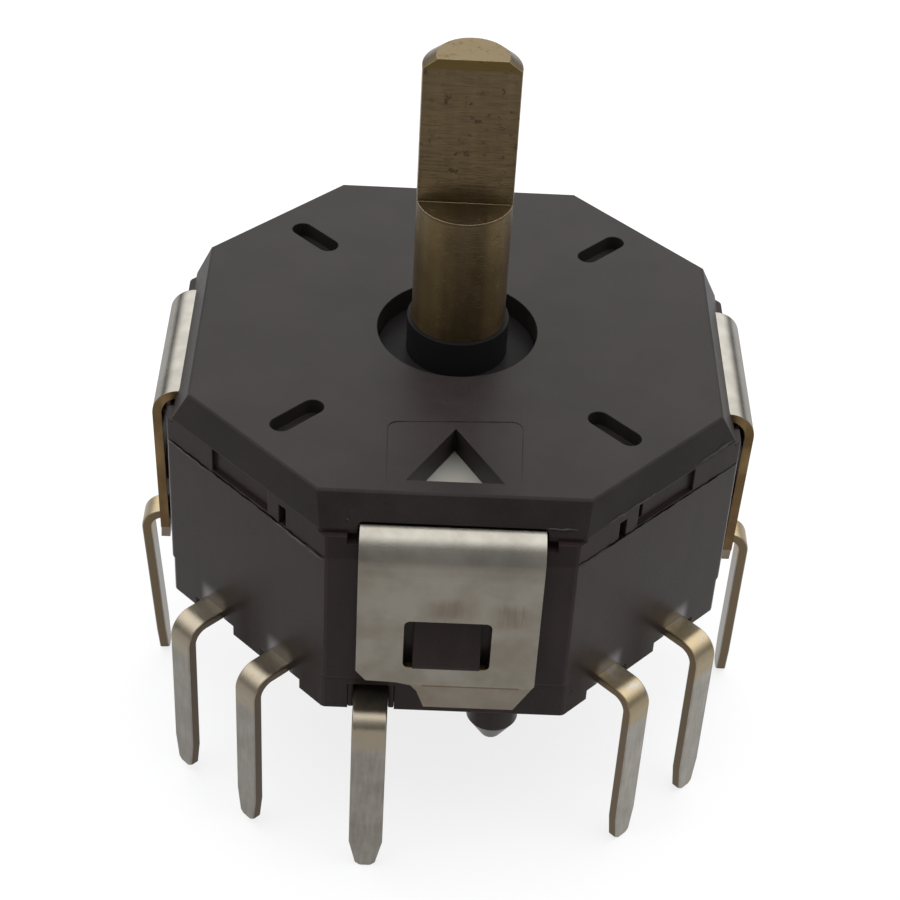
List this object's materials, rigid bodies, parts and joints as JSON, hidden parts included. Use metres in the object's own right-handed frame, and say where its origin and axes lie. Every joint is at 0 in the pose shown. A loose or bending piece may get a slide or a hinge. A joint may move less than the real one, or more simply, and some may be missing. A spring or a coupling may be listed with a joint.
{
  "type": "rotary encoder",
  "caption": "Board-mount rotary encoder: octagonal snap-together housing, D-flat shaft, sheet-metal retainer with spring legs and bent terminal pins on every side.",
  "frame": {"origin": "on the shaft axis, in the plane of the base's underside, where it seats on the circuit board", "axes": "+Z along the shaft towards the knob, -Y towards the side with the index arrow, +X to the right of it"},
  "size_m": [0.0278, 0.0274, 0.0325],
  "materials": {
    "housing_plastic": "dark brown-grey moulded thermoset, satin",
    "plated_sheet": "plated sheet with bare cut edges",
    "shaft_brass": "drawn and milled, slightly tarnished",
    "rotor_plastic": "black moulded plastic, glossy boss",
    "contact_alloy": "spring bronze, bright",
    "ball_steel": "polished",
    "spring_wire": "drawn wire",
    "terminal_plating": "tin plate, rubbed through to warm metal on the bends"
  },
  "bodies": {
    "housing": {"base": "housing_plastic", "cover": "housing_plastic", "retainer_plate": "plated_sheet", "terminal_front": "terminal_plating", "terminal_right": "terminal_plating", "terminal_back": "terminal_plating", "terminal_left": "terminal_plating", "terminal_front_right_a": "terminal_plating", "terminal_front_right_b": "terminal_plating", "terminal_back_right_a": "terminal_plating", "terminal_back_right_b": "terminal_plating", "terminal_back_left_a": "terminal_plating", "terminal_back_left_b": "terminal_plating", "terminal_front_left_a": "terminal_plating", "terminal_front_left_b": "terminal_plating", "wiper_front": "contact_alloy", "wiper_right": "contact_alloy", "wiper_back": "contact_alloy", "wiper_left": "contact_alloy", "wiper_front_right_a": "contact_alloy", "wiper_front_right_b": "contact_alloy", "wiper_back_right_a": "contact_alloy", "wiper_back_right_b": "contact_alloy", "wiper_back_left_a": "contact_alloy", "wiper_back_left_b": "contact_alloy", "wiper_front_left_a": "contact_alloy", "wiper_front_left_b": "contact_alloy", "detent_spring_front": "spring_wire", "detent_spring_back": "spring_wire"},
    "spindle": {"shaft": "shaft_brass", "rotor": "rotor_plastic", "code_pattern": "contact_alloy"},
    "front_ball": {"detent_ball_front": "ball_steel"},
    "back_ball": {"detent_ball_back": "ball_steel"}
  },
  "joints": [
    {"name": "shaft_spin", "type": "hinge", "parent": "housing", "child": "spindle", "pos_m": [0, 0, 0], "axis": [0, 0, 1], "continuous": true},
    {"name": "front_ball_slide", "type": "slide", "parent": "housing", "child": "front_ball", "axis": [0.7071, -0.7071, 0], "range_m": [0, 0.00042], "stiffness_N_per_m": 800, "springref_m": -0.0004, "deforming": ["detent_spring_front"]},
    {"name": "back_ball_slide", "type": "slide", "parent": "housing", "child": "back_ball", "axis": [-0.7071, 0.7071, 0], "range_m": [0, 0.00042], "stiffness_N_per_m": 800, "springref_m": -0.0004, "deforming": ["detent_spring_back"]}
  ]
}
